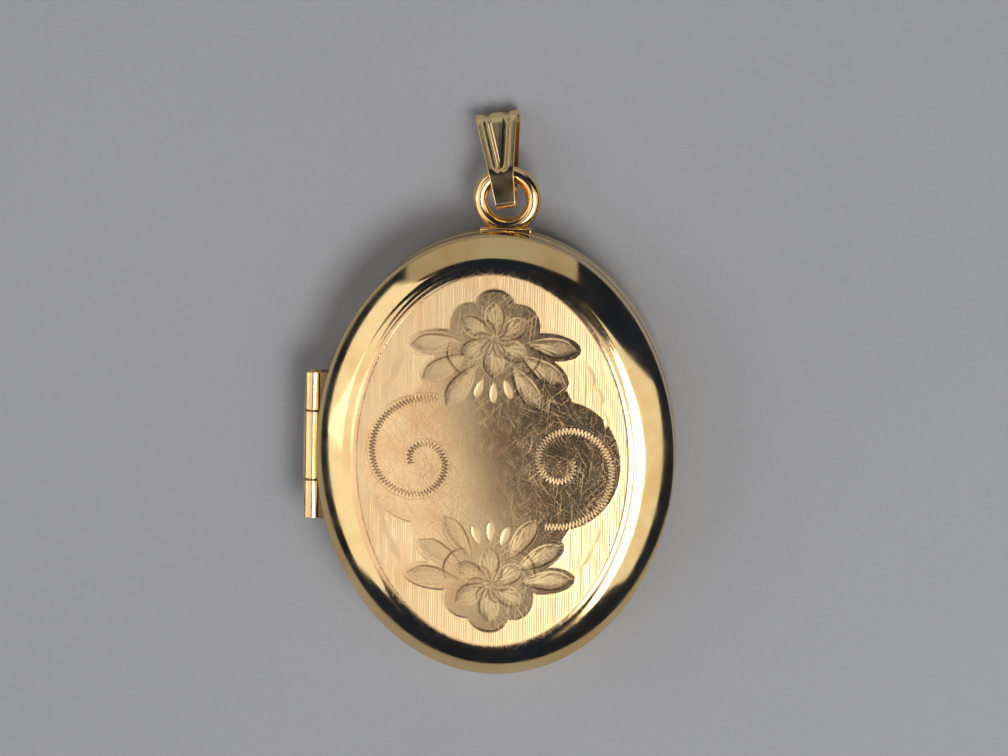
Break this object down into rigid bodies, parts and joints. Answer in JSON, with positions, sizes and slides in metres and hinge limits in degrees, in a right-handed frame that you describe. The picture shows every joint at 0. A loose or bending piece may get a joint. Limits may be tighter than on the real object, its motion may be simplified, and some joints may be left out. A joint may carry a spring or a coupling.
{
  "type": "locket",
  "caption": "Oval hinged locket with an engraved front, hinged cover, picture frames inside, a round top loop and a fluted bail.",
  "frame": {"origin": "centre of the flat back panel's outer face", "axes": "+Z out through the engraved front, +Y towards the loop and bail, hinge on the -X side"},
  "size_m": [0.0263, 0.04, 0.0065],
  "materials": {
    "engraved_gold": "satin",
    "polished_gold": "polished",
    "inner_gold": "satin",
    "hinge_gold": "polished",
    "pin_wire": "satin",
    "loop_gold": "polished",
    "bail_gold": "polished",
    "clear_window": "clear",
    "picture_card": "matte"
  },
  "bodies": {
    "back_half": {"back_cover": "polished_gold", "back_liner": "inner_gold", "back_photo_frame": "inner_gold", "back_window": "clear_window", "back_card": "picture_card", "snap_catch": "inner_gold", "hinge_knuckle_upper": "hinge_gold", "hinge_knuckle_lower": "hinge_gold", "hinge_pin": "pin_wire", "back_bearer_upper": "hinge_gold", "back_bearer_lower": "hinge_gold", "ring_foot": "loop_gold", "bail_ring": "loop_gold"},
    "front_half": {"front_cover": "engraved_gold", "front_liner": "inner_gold", "front_photo_frame": "inner_gold", "front_window": "clear_window", "front_card": "picture_card", "hinge_knuckle_middle": "hinge_gold", "front_hinge_bearer": "hinge_gold"},
    "bail": {"bail": "bail_gold"}
  },
  "joints": [
    {"name": "lid_hinge", "type": "hinge", "parent": "back_half", "child": "front_half", "pos_m": [-0.01305, 0, 0.00325], "axis": [0, -1, 0], "range_deg": [0, 175]},
    {"name": "bail_swing", "type": "hinge", "parent": "back_half", "child": "bail", "pos_m": [-0.00002, 0.01983, 0.0025], "axis": [0.9848, 0.1736, 0], "range_deg": [-70, 140]}
  ]
}
